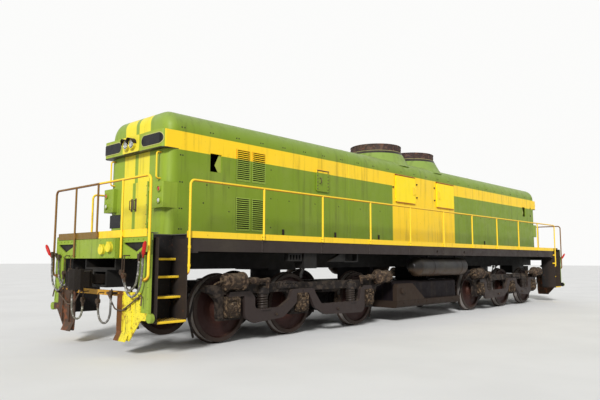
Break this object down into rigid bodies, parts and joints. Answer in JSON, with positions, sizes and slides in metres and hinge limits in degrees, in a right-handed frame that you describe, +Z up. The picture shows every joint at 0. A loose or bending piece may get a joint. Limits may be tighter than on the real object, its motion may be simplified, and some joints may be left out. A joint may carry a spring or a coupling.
{
  "type": "diesel-electric booster locomotive",
  "caption": "Cabless hood locomotive on six-wheel bogies that swivel, with turning wheelsets and fans, hinged doors, swinging couplers, handrails, steps and a fuel tank.",
  "frame": {"origin": "midway along and across the locomotive, on the plane of the wheel flanges' lowest points", "axes": "+X towards the end with the headlight that the picture shows, +Y to the locomotive's left, +Z up"},
  "size_m": [15.7126, 2.944, 3.9898],
  "materials": {
    "hood_green": "satin green paint, weathered",
    "band_yellow": "satin yellow paint, weathered",
    "safety_yellow": "yellow paint on handrails, steps and pilots, chipped",
    "frame_black": "dark grey paint with road dirt",
    "deck_grey": "worn dark walkway plate",
    "grime_iron": "cast iron under brown brake dust and oil",
    "tread_steel": "rolled steel, polished treads, brown elsewhere",
    "rust_iron": "rusty iron",
    "rust_rim": "dark rusty rolled plate",
    "fan_metal": "dull cast aluminium",
    "spring_steel": "dark spring steel with dust",
    "hose_rubber": "pale weathered hose"
  },
  "bodies": {
    "carbody": {"underframe": "frame_black", "centre_sill": "frame_black", "deck_plate": "deck_grey", "toe_strips": "safety_yellow", "headstocks": "hood_green", "pilots": "safety_yellow", "step_wells": "frame_black", "end_rails": "safety_yellow", "side_rails": "safety_yellow", "number_boxes": "hood_green", "marker_boxes": "hood_green", "hood_front": "hood_green", "hood_centre": "hood_green", "hood_rear": "hood_green", "louvres": "hood_green", "roof_hatch": "hood_green", "fan_rims": "rust_rim", "engine_block": "frame_black", "fuel_tank": "frame_black", "air_reservoirs": "frame_black", "underfloor_gear": "frame_black", "brake_hoses": "hose_rubber", "hose_fittings": "rust_iron", "jumper_boxes": "hood_green", "grab_irons": "safety_yellow"},
    "bogie_front": {"bogie_front_frame": "grime_iron", "bogie_front_equalizers": "grime_iron", "bogie_front_springs": "spring_steel", "bogie_front_journal_boxes": "grime_iron", "bogie_front_motors": "frame_black", "bogie_front_brakes": "rust_iron"},
    "wheelset_front_1": {"wheelset_front_1": "tread_steel"},
    "wheelset_front_2": {"wheelset_front_2": "tread_steel"},
    "wheelset_front_3": {"wheelset_front_3": "tread_steel"},
    "coupler_front": {"coupler_front": "rust_iron"},
    "end_door_front_left": {"end_door_front_left": "hood_green"},
    "end_door_front_right": {"end_door_front_right": "hood_green"},
    "bogie_rear": {"bogie_rear_frame": "grime_iron", "bogie_rear_equalizers": "grime_iron", "bogie_rear_springs": "spring_steel", "bogie_rear_journal_boxes": "grime_iron", "bogie_rear_motors": "frame_black", "bogie_rear_brakes": "rust_iron"},
    "wheelset_rear_1": {"wheelset_rear_1": "tread_steel"},
    "wheelset_rear_2": {"wheelset_rear_2": "tread_steel"},
    "wheelset_rear_3": {"wheelset_rear_3": "tread_steel"},
    "coupler_rear": {"coupler_rear": "rust_iron"},
    "end_door_rear_left": {"end_door_rear_left": "hood_green"},
    "end_door_rear_right": {"end_door_rear_right": "hood_green"},
    "fan_1": {"fan_1": "fan_metal"},
    "fan_2": {"fan_2": "fan_metal"},
    "side_door_left_front": {"side_door_left_front": "band_yellow"},
    "side_door_left_rear": {"side_door_left_rear": "band_yellow"},
    "cover_left": {"cover_left": "hood_green"},
    "side_door_right_front": {"side_door_right_front": "band_yellow"},
    "side_door_right_rear": {"side_door_right_rear": "band_yellow"},
    "cover_right": {"cover_right": "hood_green"}
  },
  "joints": [
    {"name": "bogie_front_swivel", "type": "hinge", "parent": "carbody", "child": "bogie_front", "pos_m": [4.104, 0, 0.96], "axis": [0, 0, 1], "range_deg": [-3, 3]},
    {"name": "wheelset_front_1_turn", "type": "hinge", "parent": "bogie_front", "child": "wheelset_front_1", "pos_m": [5.806, 0, 0.536], "axis": [0, 1, 0], "continuous": true},
    {"name": "wheelset_front_2_turn", "type": "hinge", "parent": "bogie_front", "child": "wheelset_front_2", "pos_m": [4.282, 0, 0.536], "axis": [0, 1, 0], "continuous": true},
    {"name": "wheelset_front_3_turn", "type": "hinge", "parent": "bogie_front", "child": "wheelset_front_3", "pos_m": [2.402, 0, 0.536], "axis": [0, 1, 0], "continuous": true},
    {"name": "coupler_front_swing", "type": "hinge", "parent": "carbody", "child": "coupler_front", "pos_m": [6.7, 0, 1], "axis": [0, 0, 1], "range_deg": [-6, 6]},
    {"name": "end_door_front_left_hinge", "type": "hinge", "parent": "carbody", "child": "end_door_front_left", "pos_m": [6.858, 0.391, 2.084], "axis": [0, 0, 1], "range_deg": [0, 100]},
    {"name": "end_door_front_right_hinge", "type": "hinge", "parent": "carbody", "child": "end_door_front_right", "pos_m": [6.858, -0.391, 2.084], "axis": [0, 0, -1], "range_deg": [0, 100]},
    {"name": "bogie_rear_swivel", "type": "hinge", "parent": "carbody", "child": "bogie_rear", "pos_m": [-4.104, 0, 0.96], "axis": [0, 0, 1], "range_deg": [-3, 3]},
    {"name": "wheelset_rear_1_turn", "type": "hinge", "parent": "bogie_rear", "child": "wheelset_rear_1", "pos_m": [-5.806, 0, 0.536], "axis": [0, 1, 0], "continuous": true},
    {"name": "wheelset_rear_2_turn", "type": "hinge", "parent": "bogie_rear", "child": "wheelset_rear_2", "pos_m": [-4.282, 0, 0.536], "axis": [0, 1, 0], "continuous": true},
    {"name": "wheelset_rear_3_turn", "type": "hinge", "parent": "bogie_rear", "child": "wheelset_rear_3", "pos_m": [-2.402, 0, 0.536], "axis": [0, 1, 0], "continuous": true},
    {"name": "coupler_rear_swing", "type": "hinge", "parent": "carbody", "child": "coupler_rear", "pos_m": [-6.7, 0, 1], "axis": [0, 0, 1], "range_deg": [-6, 6]},
    {"name": "end_door_rear_left_hinge", "type": "hinge", "parent": "carbody", "child": "end_door_rear_left", "pos_m": [-6.858, 0.391, 2.084], "axis": [0, 0, -1], "range_deg": [0, 100]},
    {"name": "end_door_rear_right_hinge", "type": "hinge", "parent": "carbody", "child": "end_door_rear_right", "pos_m": [-6.858, -0.391, 2.084], "axis": [0, 0, 1], "range_deg": [0, 100]},
    {"name": "fan_1_turn", "type": "hinge", "parent": "carbody", "child": "fan_1", "pos_m": [0.57, 0, 3.86], "axis": [0, 0, 1], "continuous": true},
    {"name": "fan_2_turn", "type": "hinge", "parent": "carbody", "child": "fan_2", "pos_m": [-0.9, 0, 3.86], "axis": [0, 0, 1], "continuous": true},
    {"name": "side_door_left_front_hinge", "type": "hinge", "parent": "carbody", "child": "side_door_left_front", "pos_m": [1.056, 0.868, 2.833], "axis": [0, 0, -1], "range_deg": [0, 110]},
    {"name": "side_door_left_rear_hinge", "type": "hinge", "parent": "carbody", "child": "side_door_left_rear", "pos_m": [-1.526, 0.868, 2.833], "axis": [0, 0, 1], "range_deg": [0, 110]},
    {"name": "cover_left_hinge", "type": "hinge", "parent": "carbody", "child": "cover_left", "pos_m": [3.297, 0.868, 2.7425], "axis": [0, 0, 1], "range_deg": [0, 110]},
    {"name": "side_door_right_front_hinge", "type": "hinge", "parent": "carbody", "child": "side_door_right_front", "pos_m": [1.056, -0.868, 2.833], "axis": [0, 0, 1], "range_deg": [0, 110]},
    {"name": "side_door_right_rear_hinge", "type": "hinge", "parent": "carbody", "child": "side_door_right_rear", "pos_m": [-1.526, -0.868, 2.833], "axis": [0, 0, -1], "range_deg": [0, 110]},
    {"name": "cover_right_hinge", "type": "hinge", "parent": "carbody", "child": "cover_right", "pos_m": [3.297, -0.868, 2.7425], "axis": [0, 0, -1], "range_deg": [0, 110]}
  ]
}
